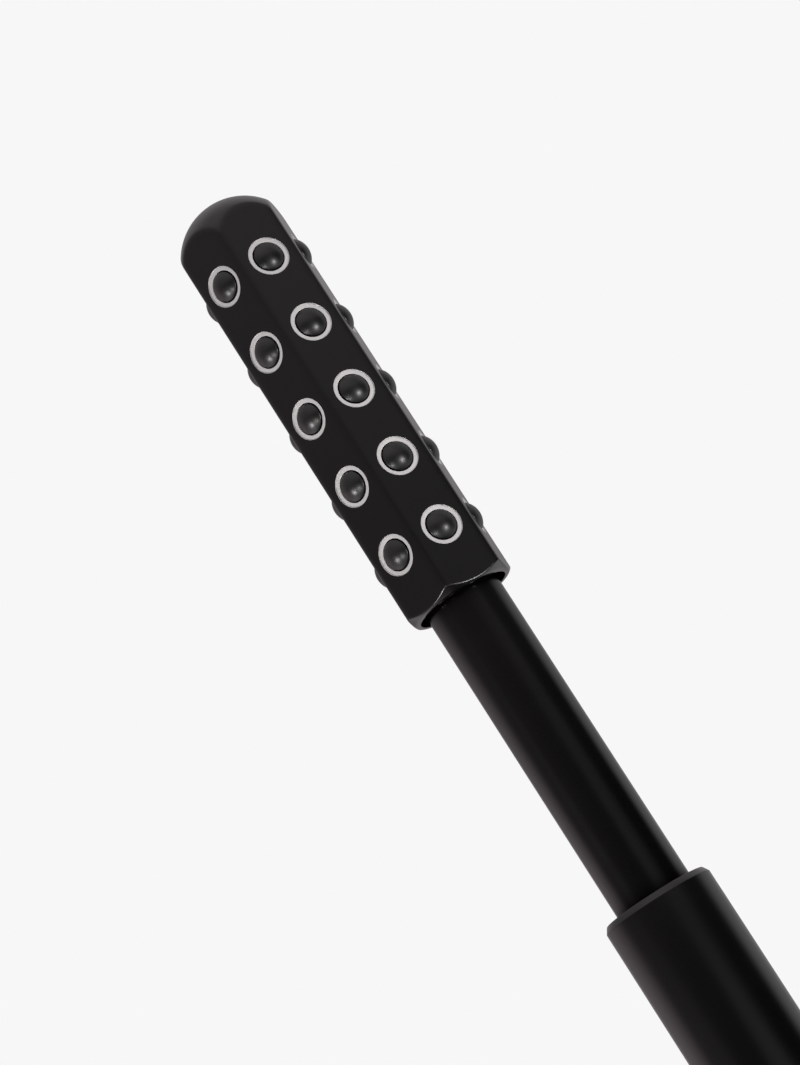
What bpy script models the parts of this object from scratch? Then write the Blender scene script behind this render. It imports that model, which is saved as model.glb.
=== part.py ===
"""A hand-held facial roller: a six-sided barrel set with thirty polished stones, which turns on two ball
bearings round an axle that stands in the neck of a round handle.

Lengths are in metres. +Z runs along the tool from the handle to the tip, and the origin is the centre of the
handle's flat lower end. Barrel face A looks along -Y.
"""

import math

import bmesh
import bpy
from mathutils import Matrix, Vector

# Fits that many pieces share
FIT_GAP = 0.0001
SEAT_GAP = 0.0001
RUNNING_GAP = 0.0003
OVERRUN = 0.001

# Handle sleeve
HANDLE_LENGTH = 0.0728
HANDLE_RADIUS = 0.0096
HANDLE_WALL = 0.0015
HANDLE_SHOULDER_LENGTH = 0.0100
HANDLE_CHAMFER_WIDTH = 0.00065
HANDLE_CHAMFER_HEIGHT = 0.00103

# End cap and its seal
CAP_RIM_LENGTH = 0.0025
CAP_RIM_CHAMFER = 0.0006
CAP_SPIGOT_LENGTH = 0.0080
CAP_WALL = 0.0020
SEAL_THICKNESS = 0.0012
SEAL_HEIGHT = 0.0040

# Neck tube and the nut that locks it inside the handle
NECK_RADIUS = 0.0067
NECK_WALL = 0.0020
NECK_EXPOSED_LENGTH = 0.05725
NECK_LENGTH_IN_HANDLE = 0.0220
NECK_LENGTH_IN_BARREL = 0.0035
NECK_EDGE_CHAMFER = 0.0003
JAM_NUT_WALL = 0.0012
JAM_NUT_HEIGHT = 0.0045
JAM_NUT_CHAMFER = 0.0004

# Axle, the carrier that holds it in the neck, and its fasteners
AXLE_RADIUS = 0.0025
AXLE_CHAMFER = 0.0003
AXLE_TAIL = 0.0008
CARRIER_LENGTH = 0.0200
CARRIER_FLANGE_HEIGHT = 0.0010
CARRIER_FLANGE_STEP = 0.0004
LOCK_NUT_FLAT_RADIUS = 0.0038
LOCK_NUT_HEIGHT = 0.0027
SCREW_THREAD_RADIUS = 0.0014
SCREW_THREAD_LENGTH = 0.0070
SCREW_HOLE_SPARE_DEPTH = 0.0010
SCREW_HEAD_RADIUS = 0.00275
SCREW_HEAD_HEIGHT = 0.0020
SCREW_SOCKET_RADIUS = 0.0013
SCREW_SOCKET_DEPTH = 0.0012
WASHER_RADIUS = 0.0036
WASHER_THICKNESS = 0.0006

# Ball bearings: both are alike
BEARING_RADIUS = 0.0055
BEARING_WIDTH = 0.0050
BEARING_SPACING = 0.0478
BALL_RADIUS = 0.0009
BALLS_PER_BEARING = 8
RACE_LAND = 0.0006
CAGE_BAND_WIDTH = 0.0006
CAGE_BAND_HEIGHT = 0.0008

# Barrel: a round bar with a ball end, milled to six flats
BARREL_LENGTH = 0.0798
BARREL_FLAT_RADIUS = 0.0090
BARREL_BAR_RADIUS = 0.0102
BARREL_END_ROUNDING = 0.0034
COUNTERBORE_DEPTH = 0.0055
COUNTERBORE_CLEARANCE = 0.0012
COUNTERBORE_LIP = 0.0001
SNAP_RING_THICKNESS = 0.0008
SNAP_RING_WIDTH = 0.0012
SNAP_RING_GROOVE_DEPTH = 0.0005
SNAP_RING_WALL = 0.0006
SNAP_RING_SLIT_ANGLE = math.radians(40)
RELIEF_DEPTH = 0.0046
DRILL_POINT_ANGLE = math.radians(118)

# Stones and their stepped seats
FACES = 6
STONES_PER_FACE = 5
STONE_PITCH = 0.0135
LOWEST_STONE_HEIGHT = 0.01045
STONE_RADIUS = 0.0025
STONE_PROUD = 0.00105
STONE_GAP = 0.00015
SEAT_RING_WIDTH = 0.00081
SEAT_RING_DEPTH = 0.00035
STONE_HOLE_DEPTH = 0.0017

# Facets
SHELL_SEGMENTS = 48
INNER_SEGMENTS = 24
BARREL_SEGMENTS = 36
SEAT_SEGMENTS = 16
STONE_SEGMENTS = 14
BALL_SEGMENTS = 8

# Places and sizes worked out from the values above
barrel_bottom = HANDLE_LENGTH + NECK_EXPOSED_LENGTH
handle_bore_radius = HANDLE_RADIUS - HANDLE_WALL
handle_bottom = CAP_RIM_LENGTH + SEAT_GAP
seal_circle_radius = handle_bore_radius - FIT_GAP - SEAL_THICKNESS / 2
handle_shoulder_bottom = HANDLE_LENGTH - HANDLE_SHOULDER_LENGTH
jam_nut_radius = handle_bore_radius - RUNNING_GAP
neck_hole_radius = jam_nut_radius - JAM_NUT_WALL
neck_tail_radius = neck_hole_radius - FIT_GAP
neck_shoulder = HANDLE_LENGTH + SEAT_GAP
neck_bottom = HANDLE_LENGTH - NECK_LENGTH_IN_HANDLE
neck_top = barrel_bottom + NECK_LENGTH_IN_BARREL
neck_bore_radius = NECK_RADIUS - NECK_WALL
axle_hole_radius = AXLE_RADIUS + FIT_GAP
carrier_bottom = neck_top - CARRIER_LENGTH
carrier_top = neck_top + SEAT_GAP + CARRIER_FLANGE_HEIGHT
lock_nut_bottom = carrier_bottom - SEAT_GAP - LOCK_NUT_HEIGHT
axle_bottom = lock_nut_bottom - AXLE_TAIL

counterbore_radius = NECK_RADIUS + COUNTERBORE_CLEARANCE
counterbore_floor = barrel_bottom + COUNTERBORE_DEPTH
bearing_bore_radius = BEARING_RADIUS + FIT_GAP
snap_groove_bottom = counterbore_floor + SNAP_RING_WALL
snap_ring_bottom = snap_groove_bottom + SEAT_GAP
snap_groove_top = snap_ring_bottom + SNAP_RING_THICKNESS + SEAT_GAP
lower_bearing_bottom = snap_groove_top + SEAT_GAP
upper_bearing_bottom = lower_bearing_bottom + BEARING_SPACING
upper_bearing_top = upper_bearing_bottom + BEARING_WIDTH
bore_shoulder = upper_bearing_top + SEAT_GAP
relief_radius = WASHER_RADIUS + RUNNING_GAP
relief_top = bore_shoulder + RELIEF_DEPTH
relief_point = relief_top + relief_radius / math.tan(DRILL_POINT_ANGLE / 2)

washer_bottom = upper_bearing_top + SEAT_GAP
washer_top = washer_bottom + WASHER_THICKNESS
screw_head_bottom = washer_top + SEAT_GAP
axle_top = upper_bearing_top - SEAT_GAP
screw_hole_radius = SCREW_THREAD_RADIUS + FIT_GAP
screw_tip = screw_head_bottom - SCREW_THREAD_LENGTH
screw_hole_bottom = screw_tip - SCREW_HOLE_SPARE_DEPTH

ball_circle_radius = (AXLE_RADIUS + BEARING_RADIUS) / 2
groove_radius = BALL_RADIUS + FIT_GAP
inner_race_radius = ball_circle_radius - RACE_LAND
outer_race_bore_radius = ball_circle_radius + RACE_LAND

stone_hole_radius = STONE_RADIUS + STONE_GAP
seat_ring_radius = stone_hole_radius + SEAT_RING_WIDTH
seat_floor_depth = SEAT_RING_DEPTH + STONE_HOLE_DEPTH
face_turn = 2 * math.pi / FACES


def clear_scene():
    for thing in list(bpy.data.objects):
        bpy.data.objects.remove(thing, do_unlink=True)


def make_material(name, colour, roughness, metallic):
    material = bpy.data.materials.new(name)
    material.use_nodes = True
    shader = material.node_tree.nodes["Principled BSDF"]
    shader.inputs["Base Color"].default_value = (*colour, 1.0)
    shader.inputs["Roughness"].default_value = roughness
    shader.inputs["Metallic"].default_value = metallic
    return material


def circle(radius, height, segments):
    """A level loop of points. On the axis it is a single point."""
    if radius == 0:
        return [(0.0, 0.0, height)]
    turns = [2 * math.pi * index / segments for index in range(segments)]
    return [(radius * math.cos(turn), radius * math.sin(turn), height) for turn in turns]


def hexagon(flat_radius, height, segments):
    """A level six-sided loop whose points lie at even angles, with one at each corner."""
    points = []
    for index in range(segments):
        turn = 2 * math.pi * index / segments
        off_flat = turn % (math.pi / 3) - math.pi / 6
        radius = flat_radius / math.cos(off_flat)
        points.append((radius * math.cos(turn), radius * math.sin(turn), height))
    return points


def arc(centre_radius, centre_height, radius, start, end, steps):
    """(radius, height) points along an arc in the half plane beside the axis."""
    angles = [start + (end - start) * step / steps for step in range(steps + 1)]
    return [
        (centre_radius + radius * math.cos(angle), centre_height + radius * math.sin(angle))
        for angle in angles
    ]


def skin_loops(mesh, loops, closed=False, place=None):
    """Joins loops of points with faces. A loop of one point is a pole, and a closed skin has no ends."""
    place = place or Matrix()
    rings = [[mesh.verts.new(place @ Vector(point)) for point in loop] for loop in loops]
    pairs = list(zip(rings, rings[1:]))
    if closed:
        pairs.append((rings[-1], rings[0]))
    for low, high in pairs:
        count = max(len(low), len(high))
        for index in range(count):
            following = (index + 1) % count
            corners = [low[index % len(low)], low[following % len(low)],
                       high[following % len(high)], high[index % len(high)]]
            mesh.faces.new(list(dict.fromkeys(corners)))
    if not closed:
        for ring in (rings[0], rings[-1]):
            if len(ring) > 1:
                mesh.faces.new(ring)
    return mesh


def add_object(name, mesh, material=None, location=(0.0, 0.0, 0.0)):
    """Makes an object from a bmesh, with its faces outward and its round sides smooth."""
    bmesh.ops.recalc_face_normals(mesh, faces=mesh.faces)
    data = bpy.data.meshes.new(name)
    mesh.to_mesh(data)
    mesh.free()
    return add_mesh_object(name, data, material, location)


def add_mesh_object(name, data, material=None, location=(0.0, 0.0, 0.0)):
    data.shade_smooth()
    data.set_sharp_from_angle(angle=math.radians(35))
    if material and not data.materials:
        data.materials.append(material)
    thing = bpy.data.objects.new(name, data)
    thing.location = location
    bpy.context.scene.collection.objects.link(thing)
    return thing


def turned(name, outline, segments, material, closed=False):
    """A turned piece. Its origin is on the tool's axis, level with the first point of its outline."""
    base = outline[0][1]
    loops = [circle(radius, height - base, segments) for radius, height in outline]
    return add_object(name, skin_loops(bmesh.new(), loops, closed), material, (0.0, 0.0, base))


def ring_outline(inner, outer, bottom, top, chamfer=0.0):
    """The outline of a plain ring or tube, with its outer edges chamfered where a chamfer is given."""
    if chamfer == 0:
        return [(inner, bottom), (outer, bottom), (outer, top), (inner, top)]
    return [
        (inner, bottom),
        (outer - chamfer, bottom),
        (outer, bottom + chamfer),
        (outer, top - chamfer),
        (outer - chamfer, top),
        (inner, top),
    ]


def hide_as_cutter(thing):
    thing.hide_render = True
    thing.display_type = "WIRE"


def add_boolean(thing, other, operation):
    modifier = thing.modifiers.new(operation.title(), "BOOLEAN")
    modifier.operation = operation
    modifier.solver = "EXACT"
    modifier.object = other


def hold_by(thing, parent):
    """Parents a piece and leaves it where it stands."""
    thing.parent = parent
    thing.location = thing.location - parent.location


def add_axis_empty(name, height):
    empty = bpy.data.objects.new(name, None)
    empty.location = (0.0, 0.0, height)
    bpy.context.scene.collection.objects.link(empty)
    return empty


def build_handle_sleeve(material):
    outline = [
        (handle_bore_radius, handle_bottom),
        (HANDLE_RADIUS, handle_bottom),
        (HANDLE_RADIUS, HANDLE_LENGTH - HANDLE_CHAMFER_HEIGHT),
        (HANDLE_RADIUS - HANDLE_CHAMFER_WIDTH, HANDLE_LENGTH),
        (neck_hole_radius, HANDLE_LENGTH),
        (neck_hole_radius, handle_shoulder_bottom),
        (handle_bore_radius, handle_shoulder_bottom),
    ]
    return turned("handle_sleeve", outline, SHELL_SEGMENTS, material, closed=True)


def build_handle_end_cap(material):
    spigot_radius = handle_bore_radius - FIT_GAP
    spigot_top = CAP_RIM_LENGTH + CAP_SPIGOT_LENGTH
    groove_floor = seal_circle_radius - SEAL_THICKNESS / 2 - SEAT_GAP
    groove_middle = CAP_RIM_LENGTH + SEAL_HEIGHT
    groove_half = SEAL_THICKNESS / 2 + SEAT_GAP
    hollow_radius = groove_floor - CAP_WALL
    outline = [
        (0.0, 0.0),
        (HANDLE_RADIUS - CAP_RIM_CHAMFER, 0.0),
        (HANDLE_RADIUS, CAP_RIM_CHAMFER),
        (HANDLE_RADIUS, CAP_RIM_LENGTH),
        (spigot_radius, CAP_RIM_LENGTH),
        (spigot_radius, groove_middle - groove_half),
        (groove_floor, groove_middle - groove_half),
        (groove_floor, groove_middle + groove_half),
        (spigot_radius, groove_middle + groove_half),
        (spigot_radius, spigot_top),
        (hollow_radius, spigot_top),
        (hollow_radius, CAP_RIM_LENGTH),
        (0.0, CAP_RIM_LENGTH),
    ]
    return turned("handle_end_cap", outline, SHELL_SEGMENTS, material)


def build_end_cap_seal(material):
    section = arc(
        seal_circle_radius, CAP_RIM_LENGTH + SEAL_HEIGHT, SEAL_THICKNESS / 2, 0, 2 * math.pi, BALL_SEGMENTS
    )
    return turned("end_cap_seal_ring", section[:-1], INNER_SEGMENTS, material, closed=True)


def build_neck_tube(material):
    """The neck seats on the handle's top, and its turned-down tail goes through the handle's shoulder."""
    outline = [
        (neck_bore_radius, neck_bottom),
        (neck_tail_radius, neck_bottom),
        (neck_tail_radius, neck_shoulder),
        (NECK_RADIUS, neck_shoulder),
        (NECK_RADIUS, neck_top - NECK_EDGE_CHAMFER),
        (NECK_RADIUS - NECK_EDGE_CHAMFER, neck_top),
        (neck_bore_radius, neck_top),
    ]
    return turned("neck_tube", outline, SHELL_SEGMENTS, material, closed=True)


def build_neck_jam_nut(material):
    top = handle_shoulder_bottom - SEAT_GAP
    outline = ring_outline(neck_hole_radius, jam_nut_radius, top - JAM_NUT_HEIGHT, top, JAM_NUT_CHAMFER)
    return turned("neck_jam_nut", outline, INNER_SEGMENTS, material, closed=True)


def build_axle_carrier(material):
    body_radius = neck_bore_radius - FIT_GAP
    flange_bottom = neck_top + SEAT_GAP
    outline = [
        (axle_hole_radius, carrier_bottom),
        (body_radius, carrier_bottom),
        (body_radius, flange_bottom),
        (NECK_RADIUS - CARRIER_FLANGE_STEP, flange_bottom),
        (NECK_RADIUS - CARRIER_FLANGE_STEP, carrier_top),
        (axle_hole_radius, carrier_top),
    ]
    return turned("axle_carrier", outline, INNER_SEGMENTS, material, closed=True)


def build_axle(material):
    outline = [
        (0.0, axle_bottom),
        (AXLE_RADIUS - AXLE_CHAMFER, axle_bottom),
        (AXLE_RADIUS, axle_bottom + AXLE_CHAMFER),
        (AXLE_RADIUS, axle_top),
        (screw_hole_radius, axle_top),
        (screw_hole_radius, screw_hole_bottom),
        (0.0, screw_hole_bottom),
    ]
    return turned("axle_pin", outline, INNER_SEGMENTS, material)


def build_axle_lock_nut(material):
    top = LOCK_NUT_HEIGHT
    loops = [
        circle(axle_hole_radius, 0.0, INNER_SEGMENTS),
        hexagon(LOCK_NUT_FLAT_RADIUS, 0.0, INNER_SEGMENTS),
        hexagon(LOCK_NUT_FLAT_RADIUS, top, INNER_SEGMENTS),
        circle(axle_hole_radius, top, INNER_SEGMENTS),
    ]
    nut = skin_loops(bmesh.new(), loops, closed=True)
    return add_object("axle_lock_nut", nut, material, (0.0, 0.0, lock_nut_bottom))


def build_retaining_screw(material):
    head_bottom = SCREW_THREAD_LENGTH
    head_top = head_bottom + SCREW_HEAD_HEIGHT
    socket_floor = head_top - SCREW_SOCKET_DEPTH
    socket_flat_radius = SCREW_SOCKET_RADIUS * math.cos(math.pi / 6)
    loops = [
        circle(0.0, 0.0, INNER_SEGMENTS),
        circle(SCREW_THREAD_RADIUS, 0.0, INNER_SEGMENTS),
        circle(SCREW_THREAD_RADIUS, head_bottom, INNER_SEGMENTS),
        circle(SCREW_HEAD_RADIUS, head_bottom, INNER_SEGMENTS),
        circle(SCREW_HEAD_RADIUS, head_top, INNER_SEGMENTS),
        hexagon(socket_flat_radius, head_top, INNER_SEGMENTS),
        hexagon(socket_flat_radius, socket_floor, INNER_SEGMENTS),
        circle(0.0, socket_floor, INNER_SEGMENTS),
    ]
    screw = skin_loops(bmesh.new(), loops)
    return add_object("axle_retaining_screw", screw, material, (0.0, 0.0, screw_tip))


def build_retaining_washer(material):
    outline = ring_outline(SCREW_THREAD_RADIUS + FIT_GAP, WASHER_RADIUS, washer_bottom, washer_top)
    return turned("axle_retaining_washer", outline, INNER_SEGMENTS, material, closed=True)


def build_inner_spacer(name, bottom, top, material):
    outline = ring_outline(axle_hole_radius, inner_race_radius, bottom, top)
    return turned(name, outline, INNER_SEGMENTS, material, closed=True)


def build_outer_spacer(material):
    bottom = lower_bearing_bottom + BEARING_WIDTH + SEAT_GAP
    top = upper_bearing_bottom - SEAT_GAP
    outline = ring_outline(outer_race_bore_radius, BEARING_RADIUS, bottom, top)
    return turned("outer_race_spacer", outline, INNER_SEGMENTS, material, closed=True)


def build_inner_race(name, bottom, material):
    middle = bottom + BEARING_WIDTH / 2
    reach = math.acos(RACE_LAND / groove_radius)
    groove = arc(ball_circle_radius, middle, groove_radius, math.pi + reach, math.pi - reach, 4)
    outline = [
        (axle_hole_radius, bottom),
        (inner_race_radius, bottom),
        *groove,
        (inner_race_radius, bottom + BEARING_WIDTH),
        (axle_hole_radius, bottom + BEARING_WIDTH),
    ]
    return turned(name, outline, INNER_SEGMENTS, material, closed=True)


def build_outer_race(name, bottom, material):
    middle = bottom + BEARING_WIDTH / 2
    reach = math.acos(RACE_LAND / groove_radius)
    groove = arc(ball_circle_radius, middle, groove_radius, reach, -reach, 4)
    outline = [
        (BEARING_RADIUS, bottom),
        (BEARING_RADIUS, bottom + BEARING_WIDTH),
        (outer_race_bore_radius, bottom + BEARING_WIDTH),
        *groove,
        (outer_race_bore_radius, bottom),
    ]
    return turned(name, outline, INNER_SEGMENTS, material, closed=True)


def build_ball_cage(name, bottom, material):
    """A cage band with its balls in it, as one body, because the balls roll round with the band."""
    middle = bottom + BEARING_WIDTH / 2
    band = bmesh.new()
    outline = ring_outline(
        ball_circle_radius - CAGE_BAND_WIDTH / 2,
        ball_circle_radius + CAGE_BAND_WIDTH / 2,
        -CAGE_BAND_HEIGHT / 2,
        CAGE_BAND_HEIGHT / 2,
    )
    loops = [circle(radius, height, INNER_SEGMENTS) for radius, height in outline]
    cage = add_object(name, skin_loops(band, loops, closed=True), material, (0.0, 0.0, middle))

    balls = bmesh.new()
    section = arc(0.0, 0.0, BALL_RADIUS, -math.pi / 2, math.pi / 2, BALL_SEGMENTS // 2)
    section[0] = (0.0, -BALL_RADIUS)
    section[-1] = (0.0, BALL_RADIUS)
    loops = [circle(radius, height, BALL_SEGMENTS) for radius, height in section]
    for index in range(BALLS_PER_BEARING):
        turn = 2 * math.pi * index / BALLS_PER_BEARING
        place = Matrix.Rotation(turn, 4, "Z") @ Matrix.Translation((ball_circle_radius, 0.0, 0.0))
        skin_loops(balls, loops, place=place)
    ball_set = add_object(name + "_ball_set", balls, material, (0.0, 0.0, middle))
    hide_as_cutter(ball_set)
    add_boolean(cage, ball_set, "UNION")
    return cage


def build_snap_ring(material):
    """An open ring, sprung into its groove. The slit lets it close up to go in."""
    outer = bearing_bore_radius + SNAP_RING_GROOVE_DEPTH - FIT_GAP
    inner = outer - SNAP_RING_WIDTH
    section = ring_outline(inner, outer, 0.0, SNAP_RING_THICKNESS)
    start = SNAP_RING_SLIT_ANGLE / 2
    sweep = 2 * math.pi - SNAP_RING_SLIT_ANGLE
    loops = []
    for index in range(INNER_SEGMENTS + 1):
        turn = Matrix.Rotation(start + sweep * index / INNER_SEGMENTS, 3, "Z")
        loops.append([turn @ Vector((radius, 0.0, height)) for radius, height in section])
    ring = skin_loops(bmesh.new(), loops)
    return add_object("bearing_snap_ring", ring, material, (0.0, 0.0, snap_ring_bottom))


def barrel_outline():
    """The barrel's turned shape, with heights from its lower end: ball end, rounded end and bore."""
    rim_radius = counterbore_radius + COUNTERBORE_LIP
    ball_centre = BARREL_LENGTH - BARREL_BAR_RADIUS
    ball_end = arc(0.0, ball_centre, BARREL_BAR_RADIUS, math.pi / 2, 0.0, 8)
    ball_end[0] = (0.0, BARREL_LENGTH)
    rounding_reach = math.asin(min(1.0, (BARREL_BAR_RADIUS - rim_radius) / BARREL_END_ROUNDING))
    lower_end = arc(
        rim_radius, BARREL_END_ROUNDING, BARREL_END_ROUNDING,
        rounding_reach - math.pi / 2, -math.pi / 2, 5,
    )
    snap_groove_radius = bearing_bore_radius + SNAP_RING_GROOVE_DEPTH
    bore = [
        (counterbore_radius, barrel_bottom),
        (counterbore_radius, counterbore_floor),
        (bearing_bore_radius, counterbore_floor),
        (bearing_bore_radius, snap_groove_bottom),
        (snap_groove_radius, snap_groove_bottom),
        (snap_groove_radius, snap_groove_top),
        (bearing_bore_radius, snap_groove_top),
        (bearing_bore_radius, bore_shoulder),
        (relief_radius, bore_shoulder),
        (relief_radius, relief_top),
        (0.0, relief_point),
    ]
    return ball_end + lower_end + [(radius, height - barrel_bottom) for radius, height in bore]


def stone_frame(face, height):
    """Places a stone or a seat: its own +Z points out of the face, and its origin is on the face."""
    azimuth = -math.pi / 2 - face * face_turn
    out = Matrix.Rotation(azimuth, 4, "Z") @ Matrix.Rotation(math.pi / 2, 4, "Y")
    return Matrix.Translation((0.0, 0.0, height)) @ out @ Matrix.Translation((0.0, 0.0, BARREL_FLAT_RADIUS))


def stone_heights():
    """Heights of the stones above the barrel's lower end."""
    return [LOWEST_STONE_HEIGHT + STONE_PITCH * index for index in range(STONES_PER_FACE)]


def build_seat_cutter():
    cutter = bmesh.new()
    outline = [
        (0.0, -seat_floor_depth),
        (stone_hole_radius, -seat_floor_depth),
        (stone_hole_radius, -SEAT_RING_DEPTH),
        (seat_ring_radius, -SEAT_RING_DEPTH),
        (seat_ring_radius, OVERRUN),
        (0.0, OVERRUN),
    ]
    loops = [circle(radius, height, SEAT_SEGMENTS) for radius, height in outline]
    for face in range(FACES):
        for height in stone_heights():
            skin_loops(cutter, loops, place=stone_frame(face, height))
    thing = add_object("stone_seat_cutter", cutter, location=(0.0, 0.0, barrel_bottom))
    hide_as_cutter(thing)
    return thing


def build_barrel(material):
    flats = bmesh.new()
    corner_radius = BARREL_FLAT_RADIUS / math.cos(face_turn / 2)
    loops = [
        circle(corner_radius, -OVERRUN, FACES),
        circle(corner_radius, BARREL_LENGTH + OVERRUN, FACES),
    ]
    barrel = add_object("head_barrel", skin_loops(flats, loops), material, (0.0, 0.0, barrel_bottom))
    loops = [circle(radius, height, BARREL_SEGMENTS) for radius, height in barrel_outline()]
    bar_skin = skin_loops(bmesh.new(), loops)
    bar = add_object("barrel_turned_bar", bar_skin, location=(0.0, 0.0, barrel_bottom))
    hide_as_cutter(bar)
    add_boolean(barrel, bar, "INTERSECT")
    add_boolean(barrel, build_seat_cutter(), "DIFFERENCE")
    return barrel


def stone_mesh(material):
    """One cabochon: a short round girdle under a low spherical crown."""
    crown_radius = (STONE_RADIUS**2 + STONE_PROUD**2) / (2 * STONE_PROUD)
    half_angle = math.asin(STONE_RADIUS / crown_radius)
    crown = arc(
        0.0, STONE_PROUD - crown_radius, crown_radius, math.pi / 2 - half_angle, math.pi / 2, 3
    )
    crown[-1] = (0.0, STONE_PROUD)
    outline = [(0.0, SEAT_GAP - seat_floor_depth), (STONE_RADIUS, SEAT_GAP - seat_floor_depth), *crown]
    mesh = bmesh.new()
    skin_loops(mesh, [circle(radius, height, STONE_SEGMENTS) for radius, height in outline])
    bmesh.ops.recalc_face_normals(mesh, faces=mesh.faces)
    data = bpy.data.meshes.new("stone")
    mesh.to_mesh(data)
    mesh.free()
    data.materials.append(material)
    return data


def build_stones(material):
    """Named by face, A to F, and by place on the face, counted from the tip."""
    shape = stone_mesh(material)
    stones = []
    for face in range(FACES):
        for place, height in enumerate(reversed(stone_heights()), start=1):
            stone = add_mesh_object(f"stone_{'abcdef'[face]}{place}", shape)
            stone.matrix_world = stone_frame(face, barrel_bottom + height)
            stones.append(stone)
    return stones


def main():
    clear_scene()
    anodised = make_material("black_anodised_aluminium", (0.012, 0.012, 0.013), 0.42, 0.85)
    turned_aluminium = make_material("plain_aluminium", (0.62, 0.62, 0.63), 0.30, 1.0)
    steel = make_material("bearing_steel", (0.55, 0.55, 0.56), 0.22, 1.0)
    zinc = make_material("zinc_plated_steel", (0.50, 0.51, 0.52), 0.35, 1.0)
    stone = make_material("polished_grey_stone", (0.020, 0.020, 0.022), 0.12, 0.0)
    rubber = make_material("black_rubber", (0.015, 0.015, 0.015), 0.70, 0.0)
    nylon = make_material("nylon_cage", (0.30, 0.22, 0.12), 0.50, 0.0)

    build_handle_sleeve(anodised)
    build_handle_end_cap(anodised)
    build_end_cap_seal(rubber)
    build_neck_tube(anodised)
    build_neck_jam_nut(turned_aluminium)
    build_axle_carrier(turned_aluminium)
    build_axle(steel)
    build_axle_lock_nut(zinc)
    build_retaining_screw(zinc)
    build_retaining_washer(zinc)
    build_inner_spacer("lower_axle_collar", carrier_top + SEAT_GAP, lower_bearing_bottom - SEAT_GAP, steel)
    build_inner_spacer(
        "inner_race_spacer",
        lower_bearing_bottom + BEARING_WIDTH + SEAT_GAP,
        upper_bearing_bottom - SEAT_GAP,
        turned_aluminium,
    )
    build_inner_race("lower_bearing_inner_race", lower_bearing_bottom, steel)
    build_inner_race("upper_bearing_inner_race", upper_bearing_bottom, steel)
    build_ball_cage("lower_bearing_balls", lower_bearing_bottom, nylon)
    build_ball_cage("upper_bearing_balls", upper_bearing_bottom, nylon)

    head_axis = add_axis_empty("head_axis", barrel_bottom)
    turning = [
        build_barrel(anodised),
        build_outer_race("lower_bearing_outer_race", lower_bearing_bottom, steel),
        build_outer_race("upper_bearing_outer_race", upper_bearing_bottom, steel),
        build_outer_spacer(turned_aluminium),
        build_snap_ring(steel),
        *build_stones(stone),
    ]
    for piece in turning:
        hold_by(piece, head_axis)


main()
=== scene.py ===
"""The looks of a facial roller: satin black anodised barrel, neck and handle, bright cut seats and polished
stones, on a pale floor in soft studio light.

Lengths are in metres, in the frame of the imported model: +Z runs from the handle to the tip, and barrel face A
looks along -Y.
"""

import math

import bmesh
import bpy
from mathutils import Matrix, Vector


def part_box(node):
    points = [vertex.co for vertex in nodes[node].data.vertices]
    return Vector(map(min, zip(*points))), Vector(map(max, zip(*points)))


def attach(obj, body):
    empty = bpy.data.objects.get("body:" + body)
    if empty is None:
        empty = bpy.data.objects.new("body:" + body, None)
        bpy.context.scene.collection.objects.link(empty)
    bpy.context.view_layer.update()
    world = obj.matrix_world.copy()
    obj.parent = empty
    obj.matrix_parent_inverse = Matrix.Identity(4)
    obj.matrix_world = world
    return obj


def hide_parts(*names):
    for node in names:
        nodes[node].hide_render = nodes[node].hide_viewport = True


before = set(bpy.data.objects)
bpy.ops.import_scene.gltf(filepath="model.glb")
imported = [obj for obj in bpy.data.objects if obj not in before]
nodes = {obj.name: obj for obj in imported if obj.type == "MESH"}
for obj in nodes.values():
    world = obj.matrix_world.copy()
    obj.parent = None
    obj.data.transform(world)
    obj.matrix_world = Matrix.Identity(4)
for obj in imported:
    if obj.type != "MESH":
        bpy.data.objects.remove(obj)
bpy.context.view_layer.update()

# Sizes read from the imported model
handle_low, handle_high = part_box("handle_sleeve")
cap_low, cap_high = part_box("handle_end_cap")
neck_low, neck_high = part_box("neck_tube")
barrel_low, barrel_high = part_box("head_barrel")
HANDLE_RADIUS = handle_high.x
HANDLE_TOP = handle_high.z
HANDLE_BOTTOM = handle_low.z
CAP_BOTTOM = cap_low.z
CAP_TOP = cap_high.z
NECK_RADIUS = neck_high.x
NECK_TOP = neck_high.z
NECK_BOTTOM = neck_low.z
PACKED_BARREL_BOTTOM = barrel_low.z
BARREL_TIP = barrel_high.z
BAR_RADIUS = barrel_high.x
FLAT_RADIUS = -barrel_low.y

# Handle, end cap and neck
HANDLE_WALL = 0.0015
HANDLE_SHOULDER_LENGTH = 0.0100
HANDLE_CHAMFER_WIDTH = 0.00065
HANDLE_CHAMFER_HEIGHT = 0.00103
HANDLE_EDGE_EASE = 0.00006
HANDLE_EDGE_STEPS = 3
NECK_WALL = 0.0020
NECK_HOLE_RADIUS = 0.0066
NECK_TAIL_RADIUS = 0.0065
NECK_SHOULDER_GAP = 0.0001
NECK_EDGE_CHAMFER = 0.0003
CAP_RIM_LENGTH = 0.0025
CAP_RIM_CHAMFER = 0.0006
CAP_FOOT_STEPS = 6
CAP_SPIGOT_RADIUS = 0.0080
CAP_HOLLOW_RADIUS = 0.0047
CAP_GROOVE_RADIUS = 0.0067
CAP_GROOVE_HEIGHT = 0.0040
CAP_GROOVE_HALF = 0.0007

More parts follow.
